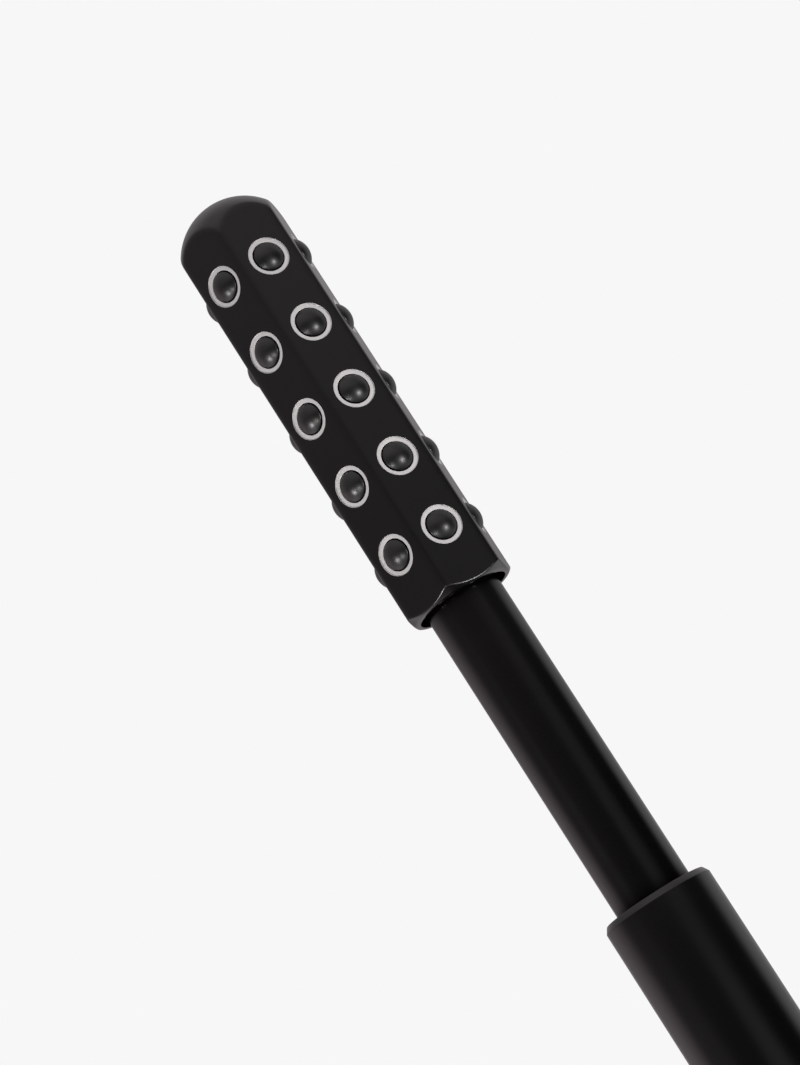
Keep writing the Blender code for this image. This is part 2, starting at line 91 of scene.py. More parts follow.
# Barrel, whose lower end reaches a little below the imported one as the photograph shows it
BARREL_LENGTHENED = 0.0002
BARREL_BOTTOM = PACKED_BARREL_BOTTOM - BARREL_LENGTHENED
FACES = 6
FACE_TURN = 2 * math.pi / FACES
DOME_RADIUS = 0.0108
SIDE_EASE = 0.00115
SIDE_STEPS = 10
PLANAR_MARGIN = 0.00005
PLANAR_STEPS = 12
SAME_PLACE = 1e-9
ARCH_EASE = 0.00045
SCALLOP_EASE = 0.00022
END_CONE_DEGREES = 41
END_ARC_RADIUS = 0.0010
END_ARC_START = 0.00843
END_STEPS = 12
RIM_RADIUS = 0.0081
COUNTERBORE_RADIUS = 0.00806
COUNTERBORE_DEPTH = 0.0055
BEARING_BORE_RADIUS = 0.0056
SNAP_GROOVE_RADIUS = 0.0061
SNAP_GROOVE_FROM_FLOOR = 0.0006
SNAP_GROOVE_WIDTH = 0.0010
BORE_SHOULDER_FROM_TIP = 0.0197
RELIEF_RADIUS = 0.0039
RELIEF_DEPTH = 0.0046
RELIEF_POINT_DEPTH = 0.0023
MIDDLE_ROWS = 40
DOME_ROWS = 26
EASE_STEPS = 5

# Stones and their seats
STONE_FACES = "abcdef"
STONES_PER_FACE = 5
STONE_RADIUS = 0.0025
STONE_PROUD = 0.00105
STONE_EDGE = 0.00012
STONE_EDGE_STEPS = 4
STONE_CROWN_STEPS = 16
STONE_HOLE_RADIUS = 0.00271
SEAT_RING_RADIUS = 0.00342
SEAT_RING_DEPTH = 0.00022
SEAT_FLOOR_DEPTH = 0.00205
SEAT_EDGE_EASE = 0.00003
SEAT_EDGE_STEPS = 3
STONE_SEAT_GAP = 0.0001

# Meshes: segments round a turned form, the angle that stays sharp, and material slots
SEAT_SEGMENTS = 72
LATHE_SEGMENTS = 144
SHARP_DEGREES = 34.0
ON_AXIS = Matrix.Identity(4)
SLOT_BLACK = 0
SLOT_HANDLE_BEVEL = 1
HANDLE_BEVEL_TILTS = (0.3, 0.8)
SLOT_CUT_METAL = 1
SLOT_STONE_HOLE = 2
SLOT_TURNED_END = 3

# Black anodising and the marks on metal
BLACKS = ((0.0009, 0.0007, 0.0008), (0.0015, 0.0012, 0.0013))
CLOUD_SCALE = 90.0
GRAIN_SCALE = 9000.0
GRAIN_STRENGTH = 0.12
MARK_DEPTH = 0.00002
POLISH_IOR = 1.5
SATIN_SHEEN = 0.35
TURNED_SHEEN = 0.42
# Painted shade on the neck: how far its ambient occlusion looks, the occlusion where its sheen is least, and
# that least sheen
NECK_PAINTED_SHADE_REACH = 0.008
NECK_PAINTED_SHADE_DEEPEST = 0.55
NECK_SHEEN_IN_PAINTED_SHADE = 0.06

# The photograph's camera
CAMERA_PLACE = (-0.19052, -0.42672, 0.03194)
CAMERA_RIGHT = (0.82194, -0.22260, -0.52428)
CAMERA_UP = (0.41417, -0.39830, 0.81843)
CAMERA_FORWARD = (0.39100, 0.88984, 0.23518)
CAMERA_FOCAL_PIXELS = 2939.72
CAMERA_NEAR = 0.01
IMAGE_HEIGHT_PIXELS = 1065
SENSOR_HEIGHT_MM = 36.0

# The studio's walls and canopy as the surfaces mirror them: azimuth in degrees, brightness, warmth
STUDIO_WALLS = (
    (-180, 0.20, 0.8),
    (-148, 0.17, 0.6),
    (-132, 0.12, 0.5),
    (-108, 0.11, 0.5),
    (-84, 0.15, 0.5),
    (-66, 0.17, 0.5),
    (-50, 0.02, 0.0),
    (-18, 0.01, 0.0),
    (-1, 0.75, 0.0),
    (8, 0.78, 0.0),
    (26, 0.55, 0.0),
    (54, 0.45, 0.3),
    (100, 0.42, 0.8),
    (127, 0.91, 0.9),
    (145, 0.95, 0.9),
    (164, 0.38, 0.9),
    (180, 0.20, 0.8),
)
STUDIO_CANOPY = (
    (-180, 0.55, 0.5),
    (-126, 0.68, 0.5),
    (-66, 0.80, 0.5),
    (-35, 0.45, 0.3),
    (-5, 0.70, 0.3),
    (25, 0.66, 0.3),
    (50, 0.50, 0.3),
    (75, 0.42, 0.4),
    (110, 0.46, 0.5),
    (150, 0.50, 0.5),
    (180, 0.55, 0.5),
)
WARM_GREEN = 0.15
WARM_BLUE = 0.12
CEILING_COLOUR = (0.74, 0.685, 0.705, 1.0)
STUDIO_GREY = (0.8, 0.8, 0.8, 1.0)

# Elevations in degrees between which the parts of the mirrored studio fade
WALLS_FULL = 6
WALLS_END = 25
CANOPY_STARTS = 8
CANOPY_FULL = 26
CEILING_STARTS = 40
CEILING_FULL = 70
MIRRORED_FLOOR_STARTS = -15
MIRRORED_FLOOR_FULL = -38
MIRRORED_FLOOR = 1.0
UNDERSIDE_STARTS = -50
UNDERSIDE_FULL = -66
UNDERSIDE_DARKENING = 1.0

# Mirrored softboxes: azimuth, elevation, half width of the full part, half width at the edge, brightness
SOFTBOXES = (
    (-114, 58, 10, 35, 0.30),
    (-84, -14, 14, 26, 0.40),
    (-172, -14, 14, 28, 0.24),
    (-68, 18, 3, 12, 0.09),
)

# Soft light on the surfaces, and the backdrop and floor that the eye sees
SOFT_KEY_AZIMUTH = -40
SOFT_KEY_SHARE = 0.85
BACKDROP = (0.93, 0.93, 0.93, 1.0)
FLOOR_REACH = 3.0
FLOOR_GREYS = ((0.89, 0.89, 0.89), (0.91, 0.91, 0.91))
FLOOR_SPECK_SCALE = 40.0

# Lamps below the barrel: name, azimuth and elevation in degrees, power in watts
LAMPS = (
    ("right_softbox", -67.5, -26.0, 0.021),
    ("left_softbox", -135.0, -29.0, 0.010),
    ("far_left_softbox", -172.0, -26.0, 0.020),
)
LAMP_TARGET = Vector((0.0, 0.0, 0.174))
LAMP_DISTANCE = 0.24
LAMP_SIZE = 0.045
LAMP_SPREAD = 45
LAMP_COLOUR = (1.0, 0.98, 0.96)


def material(name):
    """A new node material, with its node tree and its Principled shader."""
    made = bpy.data.materials.new(name)
    made.use_nodes = True
    return made, made.node_tree, made.node_tree.nodes["Principled BSDF"]


def add_noise(tree, scale, detail, stretch=(1.0, 1.0, 1.0)):
    """Noise fixed to the object, in noise cells per metre."""
    place = tree.nodes.new("ShaderNodeTexCoord")
    mapping = tree.nodes.new("ShaderNodeMapping")
    mapping.inputs["Scale"].default_value = stretch
    noise = tree.nodes.new("ShaderNodeTexNoise")
    noise.inputs["Scale"].default_value = scale
    noise.inputs["Detail"].default_value = detail
    tree.links.new(place.outputs["Object"], mapping.inputs["Vector"])
    tree.links.new(mapping.outputs["Vector"], noise.inputs["Vector"])
    return noise.outputs["Fac"]


def add_fade(tree, value, start, end, low, high, kind="SMOOTHSTEP"):
    """Goes from low to high while a value goes from start to end."""
    fade = tree.nodes.new("ShaderNodeMapRange")
    fade.interpolation_type = kind
    fade.inputs["From Min"].default_value = start
    fade.inputs["From Max"].default_value = end
    fade.inputs["To Min"].default_value = low
    fade.inputs["To Max"].default_value = high
    tree.links.new(value, fade.inputs["Value"])
    return fade.outputs["Result"]


def add_tint(tree, value, dark, light):
    """A colour between two colours."""
    tint = tree.nodes.new("ShaderNodeValToRGB")
    tint.color_ramp.elements[0].color = (*dark, 1.0)
    tint.color_ramp.elements[1].color = (*light, 1.0)
    tree.links.new(value, tint.inputs["Fac"])
    return tint.outputs["Color"]


def add_bump(tree, shader, height, strength, distance=MARK_DEPTH):
    """Raises a surface by a height between 0 and 1."""
    bump = tree.nodes.new("ShaderNodeBump")
    bump.inputs["Strength"].default_value = strength
    bump.inputs["Distance"].default_value = distance
    tree.links.new(height, bump.inputs["Height"])
    tree.links.new(bump.outputs["Normal"], shader.inputs["Normal"])


def drifting_material(name, scale, detail, colours, roughness, stretch=(1.0, 1.0, 1.0)):
    """A material whose colour and roughness drift with one noise, which is given back as well."""
    made, tree, shader = material(name)
    drift = add_noise(tree, scale, detail, stretch)
    tree.links.new(add_tint(tree, drift, *colours), shader.inputs["Base Color"])
    rough = add_fade(tree, drift, 0.0, 1.0, *roughness, "LINEAR")
    tree.links.new(rough, shader.inputs["Roughness"])
    return made, tree, shader, drift


def black_material(name, roughness, sheen):
    """Black anodising with slight cloudiness in its sheen."""
    made, tree, shader, _ = drifting_material(name, CLOUD_SCALE, 3.0, BLACKS, roughness)
    shader.inputs["IOR"].default_value = POLISH_IOR
    shader.inputs["Specular IOR Level"].default_value = sheen
    return made, tree, shader


def add_blasted_grain(tree, shader):
    """The fine even grain of aluminium that was blasted before it was anodised."""
    add_bump(tree, shader, add_noise(tree, GRAIN_SCALE, 2.0), GRAIN_STRENGTH)


def anodised_material():
    """Satin black on blasted aluminium."""
    made, tree, shader = black_material("black_anodised_satin", (0.21, 0.25), SATIN_SHEEN)
    add_blasted_grain(tree, shader)
    return made


def neck_material():
    """The same black with a slightly tighter sheen, and a painted shade: close under the barrel, where ambient
    occlusion finds it near, the sheen is cut down.
    """
    made, tree, shader = black_material("black_anodised_neck_painted_shade", (0.16, 0.20), SATIN_SHEEN)
    add_blasted_grain(tree, shader)
    # Painted shade: ambient occlusion from the barrel above cuts the neck's sheen down
    shade = tree.nodes.new("ShaderNodeAmbientOcclusion")
    shade.inputs["Distance"].default_value = NECK_PAINTED_SHADE_REACH
    open_share = shade.outputs["AO"]
    sheen = add_fade(tree, open_share, NECK_PAINTED_SHADE_DEEPEST, 1.0, NECK_SHEEN_IN_PAINTED_SHADE, SATIN_SHEEN, "LINEAR")
    tree.links.new(sheen, shader.inputs["Specular IOR Level"])
    return made


def turned_bevel_material():
    """The same black over a bevel that was turned after blasting, so it shines a little more."""
    return black_material("black_anodised_bevel", (0.20, 0.24), TURNED_SHEEN)[0]


def cut_aluminium_material():
    """Bare aluminium where the seat cutter went through the anodising, with fine turning marks."""
    colours = ((0.39, 0.377, 0.382), (0.50, 0.487, 0.492))
    made, tree, shader, marks = drifting_material("cut_aluminium_bright", 2500.0, 3.0, colours, (0.36, 0.48))
    shader.inputs["Metallic"].default_value = 0.35
    add_bump(tree, shader, marks, 0.10)
    return made


def shadow_gap_material():
    """Painted shade: a near-black wall for the deep narrow hole under each stone, in place of the shade that
    falls in it.
    """
    # Painted shade: the hole's wall is made near black and barely glossy
    colours = ((0.0015, 0.0015, 0.0015), (0.003, 0.003, 0.003))
    made, _, shader, _ = drifting_material("stone_hole_painted_shade", 4000.0, 2.0, colours, (0.7, 0.9))
    shader.inputs["Specular IOR Level"].default_value = 0.1
    return made


def stone_material():
    """Polished dark grey stone with a faint mottle below the polish."""
    colours = ((0.0008, 0.0007, 0.0007), (0.0020, 0.0018, 0.0018))
    made, tree, shader, _ = drifting_material("polished_dark_stone", 700.0, 5.0, colours, (0.32, 0.36))
    shader.inputs["IOR"].default_value = POLISH_IOR
    shader.inputs["Specular IOR Level"].default_value = 0.42
    add_bump(tree, shader, add_noise(tree, 5000.0, 3.0), 0.05)
    return made


def metal_material(name, colours, roughness, scale):
    """Turned or plated metal of an inner piece."""
    made, tree, shader, marks = drifting_material(name, scale, 3.0, colours, roughness, (1.0, 1.0, 8.0))
    shader.inputs["Metallic"].default_value = 1.0
    add_bump(tree, shader, marks, 0.08)
    return made


def rubber_material():
    """The dull black rubber of the seal ring."""
    colours = ((0.010, 0.010, 0.010), (0.018, 0.018, 0.018))
    made, tree, shader, grain = drifting_material("seal_rubber", 3000.0, 2.0, colours, (0.60, 0.75))
    add_bump(tree, shader, grain, 0.15, 0.00003)
    return made


def cage_material():
    """The steel of the balls and their pressed cage."""
    colours = ((0.46, 0.45, 0.43), (0.60, 0.59, 0.57))
    made, _, shader, _ = drifting_material("ball_cage_steel", 2500.0, 2.0, colours, (0.18, 0.30))
    shader.inputs["Metallic"].default_value = 1.0
    return made


def finish_mesh(name, mesh, materials):
    """Turns a bmesh into a smooth shaded object that keeps its sharp edges."""
    bmesh.ops.recalc_face_normals(mesh, faces=mesh.faces)
    data = bpy.data.meshes.new(name)
    mesh.to_mesh(data)
    mesh.free()
    for each in materials:
        data.materials.append(each)
    data.shade_smooth()
    data.set_sharp_from_angle(angle=math.radians(SHARP_DEGREES))
    thing = bpy.data.objects.new(name, data)
    bpy.context.scene.collection.objects.link(thing)
    return thing


def bezier(start, corner, end, steps):
    """Points of an eased corner between two points, both ends included."""
    points = []
    for index in range(steps + 1):
        share = index / steps
        a, b, c = (1 - share) ** 2, 2 * share * (1 - share), share**2
        points.append(tuple(a * s + b * m + c * e for s, m, e in zip(start, corner, end)))
    return points


def eased_outline(corners, ease, steps):
    """A closed outline whose corners are all eased by the same small length."""
    eased = []
    count = len(corners)
    for index, corner in enumerate(corners):
        here = Vector(corner)
        before = Vector(corners[index - 1])
        after = Vector(corners[(index + 1) % count])
        start = here + (before - here).normalized() * ease
        end = here + (after - here).normalized() * ease
        eased.extend(bezier(tuple(start), corner, tuple(end), steps))
    return eased


def turned_rings(mesh, outline, segments, place=ON_AXIS):
    """Rings of points from (radius, height) pairs turned round a place's Z axis. Radius 0 makes a pole."""
    rings = []
    for radius, height in outline:
        if radius == 0:
            rings.append([mesh.verts.new(place @ Vector((0.0, 0.0, height)))])
            continue
        turns = [2 * math.pi * index / segments for index in range(segments)]
        points = [Vector((radius * math.cos(t), radius * math.sin(t), height)) for t in turns]
        rings.append([mesh.verts.new(place @ point) for point in points])
    return rings


def bridge(mesh, low, high, slot=SLOT_BLACK):
    """Joins two closed rings of points with faces. Either may be a pole."""
    count = max(len(low), len(high))
    for index in range(count):
        after = (index + 1) % count
        below = (low[index % len(low)], low[after % len(low)])
        above = (high[after % len(high)], high[index % len(high)])
        mesh.faces.new(list(dict.fromkeys(below + above))).material_index = slot


def lathe(name, outline, segments, materials, closed):
    """Turns (radius, height) points into a skin. A closed one joins its last ring to its first."""
    mesh = bmesh.new()
    rings = turned_rings(mesh, outline, segments)
    pairs = list(zip(rings, rings[1:]))
    if closed:
        pairs.append((rings[-1], rings[0]))
    for low, high in pairs:
        bridge(mesh, low, high)
    return finish_mesh(name, mesh, materials)


def build_handle_sleeve(look, bevel_look):
    """A tube with a solid shoulder at its top, and a turned bevel round its upper edge."""
    bore = HANDLE_RADIUS - HANDLE_WALL
    shoulder = HANDLE_TOP - HANDLE_SHOULDER_LENGTH
    corners = [
        (bore, HANDLE_BOTTOM),
        (HANDLE_RADIUS, HANDLE_BOTTOM),
        (HANDLE_RADIUS, HANDLE_TOP - HANDLE_CHAMFER_HEIGHT),
        (HANDLE_RADIUS - HANDLE_CHAMFER_WIDTH, HANDLE_TOP),
        (NECK_HOLE_RADIUS, HANDLE_TOP),
        (NECK_HOLE_RADIUS, shoulder),
        (bore, shoulder),
    ]
    outline = eased_outline(corners, HANDLE_EDGE_EASE, HANDLE_EDGE_STEPS)
    sleeve = lathe("handle_sleeve_skin", outline, LATHE_SEGMENTS, [look, bevel_look], True)
    least_tilt, most_tilt = HANDLE_BEVEL_TILTS
    for face in sleeve.data.polygons:
        if least_tilt < face.normal.z < most_tilt:
            face.material_index = SLOT_HANDLE_BEVEL
    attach(sleeve, "root")
    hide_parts("handle_sleeve")


def build_end_cap(look):
    """A flat foot with an eased rim, and a hollow spigot with a groove for the seal ring."""
    groove_low = CAP_RIM_LENGTH + CAP_GROOVE_HEIGHT - CAP_GROOVE_HALF
    groove_high = CAP_RIM_LENGTH + CAP_GROOVE_HEIGHT + CAP_GROOVE_HALF
    foot = bezier(
        (HANDLE_RADIUS - CAP_RIM_CHAMFER, CAP_BOTTOM),
        (HANDLE_RADIUS, CAP_BOTTOM),
        (HANDLE_RADIUS, CAP_BOTTOM + CAP_RIM_CHAMFER),
        CAP_FOOT_STEPS,
    )
    outline = [
        (0.0, CAP_BOTTOM),
        *foot,
        (HANDLE_RADIUS, CAP_RIM_LENGTH - HANDLE_EDGE_EASE),
        (HANDLE_RADIUS - HANDLE_EDGE_EASE, CAP_RIM_LENGTH),
        (CAP_SPIGOT_RADIUS, CAP_RIM_LENGTH),
        (CAP_SPIGOT_RADIUS, groove_low),
        (CAP_GROOVE_RADIUS, groove_low),
        (CAP_GROOVE_RADIUS, groove_high),
        (CAP_SPIGOT_RADIUS, groove_high),
        (CAP_SPIGOT_RADIUS, CAP_TOP),
        (CAP_HOLLOW_RADIUS, CAP_TOP),
        (CAP_HOLLOW_RADIUS, CAP_RIM_LENGTH),
        (0.0, CAP_RIM_LENGTH),
    ]
    cap = lathe("handle_end_cap_skin", outline, LATHE_SEGMENTS, [look], False)
    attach(cap, "root")
    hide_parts("handle_end_cap")


def build_neck(look):
    """A slim tube whose narrower tail goes down through the handle's shoulder."""
    bore = NECK_RADIUS - NECK_WALL
    shoulder = HANDLE_TOP + NECK_SHOULDER_GAP
    outline = [
        (bore, NECK_BOTTOM),
        (NECK_TAIL_RADIUS, NECK_BOTTOM),
        (NECK_TAIL_RADIUS, shoulder),
        (NECK_RADIUS, shoulder),
        (NECK_RADIUS, NECK_TOP - NECK_EDGE_CHAMFER),
        (NECK_RADIUS - NECK_EDGE_CHAMFER, NECK_TOP),
        (bore, NECK_TOP),
    ]
    neck = lathe("neck_tube_skin", outline, LATHE_SEGMENTS, [look], True)
    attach(neck, "root")
    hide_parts("neck_tube")


def sector_profile():
    """The lines round one face, from one ridge's middle to the next, and half the width of its flat part.

    Each line is its turn from the face's middle, its radius and its place across the face."""
    half_turn = math.pi / FACES
    ridge = (BAR_RADIUS * math.sin(half_turn), BAR_RADIUS * math.cos(half_turn))
    corner = (ridge[0] - (FLAT_RADIUS - ridge[1]) / math.tan(half_turn), FLAT_RADIUS)
    eased = bezier((corner[0] - SIDE_EASE, FLAT_RADIUS), corner, ridge, SIDE_STEPS)
    planar_edge = corner[0] - SIDE_EASE - PLANAR_MARGIN
    right = [(planar_edge, FLAT_RADIUS), *eased]
    steps = range(1 - PLANAR_STEPS, PLANAR_STEPS)
    planar = [(planar_edge * step / PLANAR_STEPS, FLAT_RADIUS) for step in steps]
    left = [(-x, y) for x, y in reversed(right)]
    whole = left[1:] + planar + right
    return [(math.atan2(x, y), math.hypot(x, y), x) for x, y in whole], planar_edge


def end_height(radius):
    """How far the turned lower end stands above the rim: an arc that runs out into a cone."""
    slope = math.radians(END_CONE_DEGREES)
    arc_end = END_ARC_START + END_ARC_RADIUS * math.sin(slope)
    into_arc = min(max(radius - END_ARC_START, 0.0), arc_end - END_ARC_START)
    on_arc = END_ARC_RADIUS - math.sqrt(END_ARC_RADIUS**2 - into_arc**2)
    return on_arc + max(radius - arc_end, 0.0) * math.tan(slope)


def end_slope(radius):
    """The turned lower end's tilt from level, in radians."""
    into_arc = max(radius - END_ARC_START, 0.0)
    return min(math.asin(min(into_arc / END_ARC_RADIUS, 1.0)), math.radians(END_CONE_DEGREES))


def barrel_column(radius):
    """Radii and heights down one line of the barrel: dome, eased arch, side, eased scallop, lower end.

    Gives the points, and the places in them of the side's first and last rows."""
    ball_centre = BARREL_TIP - DOME_RADIUS
    reach = math.sqrt(max(0.0, radius**2 - FLAT_RADIUS**2))
    arch_radius = math.sqrt(DOME_RADIUS**2 - FLAT_RADIUS**2)
    arch = ball_centre + math.sqrt(DOME_RADIUS**2 - radius**2)
    outer = ball_centre + math.sqrt((arch_radius + ARCH_EASE) ** 2 - reach**2)
    inner = ball_centre + math.sqrt((arch_radius - ARCH_EASE) ** 2 - reach**2)
    outer_radius = math.sqrt(DOME_RADIUS**2 - (outer - ball_centre) ** 2)
    polar = math.acos((outer - ball_centre) / DOME_RADIUS)
    points = []
    for row in range(1, DOME_ROWS):
        angle = polar * row / DOME_ROWS
        points.append((DOME_RADIUS * math.sin(angle), ball_centre + DOME_RADIUS * math.cos(angle)))
    points += bezier((outer_radius, outer), (radius, arch), (radius, inner), EASE_STEPS)
    first = len(points)

    corner = BARREL_BOTTOM + end_height(radius)
    end_radius = radius - SCALLOP_EASE * math.cos(end_slope(radius))
    side_top = inner - ARCH_EASE
    side_bottom = corner + 2 * SCALLOP_EASE
    for row in range(MIDDLE_ROWS + 1):
        points.append((radius, side_top + (side_bottom - side_top) * row / MIDDLE_ROWS))
    last = len(points) - 1
    end_start = (end_radius, BARREL_BOTTOM + end_height(end_radius))
    points += bezier((radius, corner + SCALLOP_EASE), (radius, corner), end_start, EASE_STEPS)
    for step in range(1, END_STEPS + 1):
        along_end = end_radius + (RIM_RADIUS - end_radius) * step / END_STEPS
        points.append((along_end, BARREL_BOTTOM + end_height(along_end)))
    return points, first, last


def face_azimuth(face):
    """Which way a face of the barrel looks. Face A is the first, and looks along -Y."""
    return -math.pi / 2 - face * FACE_TURN


def face_place(face, height):
    """Places a seat or a stone: its own +Z points out of the face, with its origin on the face."""
    out = Matrix.Rotation(face_azimuth(face), 4, "Z") @ Matrix.Rotation(math.pi / 2, 4, "Y")
    return Matrix.Translation((0.0, 0.0, height)) @ out @ Matrix.Translation((0.0, 0.0, FLAT_RADIUS))


def stone_node(face, number):
    return f"stone_{STONE_FACES[face]}{number + 1}"


def stone_height(face, number):
    """The height of a packed stone's middle."""
    low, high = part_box(stone_node(face, number))
    return (low.z + high.z) / 2


def seat_outline():
    """One stepped seat from its outer edge inward: radius, height over the face, material slot."""
    ease = SEAT_EDGE_EASE
    ring = SEAT_RING_RADIUS
    hole = STONE_HOLE_RADIUS
    floor = -SEAT_RING_DEPTH
    bright = [(ring, -ease), (ring, floor + ease), (ring - ease, floor)]
    bright += bezier((hole + ease, floor), (hole, floor), (hole, floor - ease), SEAT_EDGE_STEPS)
    outline = [(ring + ease, 0.0, SLOT_BLACK)]
    outline += [(radius, height, SLOT_CUT_METAL) for radius, height in bright]
    outline.append((hole, -SEAT_FLOOR_DEPTH, SLOT_STONE_HOLE))
    return outline


def add_seat(mesh, place):
    """Adds one stepped seat and gives back the edges of its outermost ring, which lies in the face."""
    outline = seat_outline()
    rings = turned_rings(mesh, [point[:2] for point in outline], SEAT_SEGMENTS, place)
    for low, high, (_, _, slot) in zip(rings, rings[1:], outline[1:]):
        bridge(mesh, low, high, slot)
    mesh.faces.new(rings[-1]).material_index = SLOT_STONE_HOLE
    outer = rings[0]
    return [mesh.edges.get((outer[index - 1], outer[index])) for index in range(SEAT_SEGMENTS)]


def add_columns(mesh, sector):
    """The lines down the barrel all the way round, and where the side's first and last rows lie in them."""
    columns = []
    for face in range(FACES):
        for turn, radius, _ in sector:
            azimuth = face_azimuth(face) - turn
            x, y = math.cos(azimuth), math.sin(azimuth)
            points, first, last = barrel_column(radius)
            columns.append([mesh.verts.new((out * x, out * y, height)) for out, height in points])
    return columns, first, last


def add_sides(mesh, tip, columns, per_face, planar_columns, first, last):
    """Faces between the barrel's lines, from the tip to the rim, apart from the flats."""
    for index, here in enumerate(columns):
        after = columns[(index + 1) % len(columns)]
        place = index % per_face
        planar = place in planar_columns and place + 1 in planar_columns
        mesh.faces.new((tip, here[0], after[0]))
        for row in range(len(here) - 1):
            if planar and first <= row < last:
                continue
            made = mesh.faces.new((here[row], here[row + 1], after[row + 1], after[row]))
            if row >= last:
                made.material_index = SLOT_TURNED_END


def flat_border(mesh, columns, left, right, first, last):
    """The edges round one flat."""
    lines = [columns[column][first : last + 1] for column in (left, right)]
    lines += [[columns[column][row] for column in range(left, right + 1)] for row in (first, last)]
    return [mesh.edges.get(pair) for line in lines for pair in zip(line, line[1:])]


def add_bore(mesh, rim):
    """The stepped bore from the rim inward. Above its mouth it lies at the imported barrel's heights."""
    floor = PACKED_BARREL_BOTTOM + COUNTERBORE_DEPTH
    groove = floor + SNAP_GROOVE_FROM_FLOOR
    shoulder = BARREL_TIP - BORE_SHOULDER_FROM_TIP
    relief = shoulder + RELIEF_DEPTH
    outline = [
        (COUNTERBORE_RADIUS, BARREL_BOTTOM + RIM_RADIUS - COUNTERBORE_RADIUS),
        (COUNTERBORE_RADIUS, floor),
        (BEARING_BORE_RADIUS, floor),
        (BEARING_BORE_RADIUS, groove),
        (SNAP_GROOVE_RADIUS, groove),
        (SNAP_GROOVE_RADIUS, groove + SNAP_GROOVE_WIDTH),
        (BEARING_BORE_RADIUS, groove + SNAP_GROOVE_WIDTH),
        (BEARING_BORE_RADIUS, shoulder),
        (RELIEF_RADIUS, shoulder),
        (RELIEF_RADIUS, relief),
    ]
    azimuths = [math.atan2(vert.co.y, vert.co.x) for vert in rim]
    rings = [rim]
    for radius, height in outline:
        rings.append([mesh.verts.new((radius * math.cos(a), radius * math.sin(a), height)) for a in azimuths])
    rings.append([mesh.verts.new((0.0, 0.0, relief + RELIEF_POINT_DEPTH))])
    for low, high in zip(rings, rings[1:]):
        bridge(mesh, low, high)


def build_barrel(looks):
    """A hexagonal bar with a ball end. Its flats are filled round the seats, so they stay truly flat."""
    mesh = bmesh.new()
    sector, planar_edge = sector_profile()
    across = [place for _, _, place in sector]
    planar_columns = [index for index, place in enumerate(across) if abs(place) <= planar_edge + SAME_PLACE]
    per_face = len(sector)
    tip = mesh.verts.new((0.0, 0.0, BARREL_TIP))
    columns, first, last = add_columns(mesh, sector)
    add_sides(mesh, tip, columns, per_face, planar_columns, first, last)

    borders = []
    for face in range(FACES):
        left = face * per_face + planar_columns[0]
        right = face * per_face + planar_columns[-1]
        border = flat_border(mesh, columns, left, right, first, last)
        for number in range(STONES_PER_FACE):
            border += add_seat(mesh, face_place(face, stone_height(face, number)))
        borders.append(border)
    for border in borders:
        bmesh.ops.triangle_fill(mesh, use_beauty=True, use_dissolve=False, edges=border)

    add_bore(mesh, [column[-1] for column in columns])
    barrel = finish_mesh("head_barrel_skin", mesh, looks)
    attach(barrel, "head")
    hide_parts("head_barrel")


def stone_mesh(look):
    """A polished cabochon: a straight girdle, a softly broken edge and a low spherical crown."""
    crown_radius = (STONE_RADIUS**2 + STONE_PROUD**2) / (2 * STONE_PROUD)
    centre = STONE_PROUD - crown_radius
    half_angle = math.asin(STONE_RADIUS / crown_radius)
    broken = half_angle - STONE_EDGE / crown_radius
    crown_edge = (crown_radius * math.sin(broken), centre + crown_radius * math.cos(broken))
    foot = STONE_SEAT_GAP - SEAT_FLOOR_DEPTH
    outline = [(0.0, foot), (STONE_RADIUS, foot)]
    outline += bezier((STONE_RADIUS, -STONE_EDGE), (STONE_RADIUS, 0.0), crown_edge, STONE_EDGE_STEPS)
    for step in range(1, STONE_CROWN_STEPS):
        angle = broken * (1 - step / STONE_CROWN_STEPS)
        outline.append((crown_radius * math.sin(angle), centre + crown_radius * math.cos(angle)))
    outline.append((0.0, STONE_PROUD))
    shape = lathe("stone_shape", outline, SEAT_SEGMENTS, [look], False)
    data = shape.data
    bpy.data.objects.remove(shape)
    return data


def build_stones(look):
    """All stones share one shape, each in its own seat."""
    shape = stone_mesh(look)
    for face in range(FACES):
        for number in range(STONES_PER_FACE):
            node = stone_node(face, number)
            stone = bpy.data.objects.new(node + "_polished", shape)
            stone.matrix_world = face_place(face, stone_height(face, number))
            bpy.context.scene.collection.objects.link(stone)
            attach(stone, "head")
            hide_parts(node)


def dress_inner_pieces():
    """Gives the pieces that stay as packed their own finish."""
    aluminium_greys = ((0.55, 0.55, 0.55), (0.72, 0.72, 0.71))
    steel_greys = ((0.48, 0.48, 0.49), (0.62, 0.62, 0.63))
    zinc_greys = ((0.44, 0.46, 0.48), (0.60, 0.61, 0.62))
    aluminium = metal_material("turned_aluminium", aluminium_greys, (0.26, 0.38), 1500.0)
    steel = metal_material("ground_bearing_steel", steel_greys, (0.14, 0.24), 2500.0)
    zinc = metal_material("zinc_plate", zinc_greys, (0.28, 0.42), 1200.0)
    rubber = rubber_material()
    cage = cage_material()
    finishes = {
        "end_cap_seal_ring": rubber,
        "neck_jam_nut": aluminium,
        "axle_carrier": aluminium,
        "axle_pin": steel,
        "axle_lock_nut": zinc,
        "axle_retaining_screw": zinc,
        "axle_retaining_washer": zinc,
        "lower_axle_collar": steel,
        "inner_race_spacer": aluminium,
        "outer_race_spacer": aluminium,
        "lower_bearing_inner_race": steel,
        "upper_bearing_inner_race": steel,
        "lower_bearing_outer_race": steel,
        "upper_bearing_outer_race": steel,
        "lower_bearing_balls": cage,
        "upper_bearing_balls": cage,
        "bearing_snap_ring": steel,
    }
    for name, look in finishes.items():
        for slot in nodes[name].material_slots:
            slot.material = look


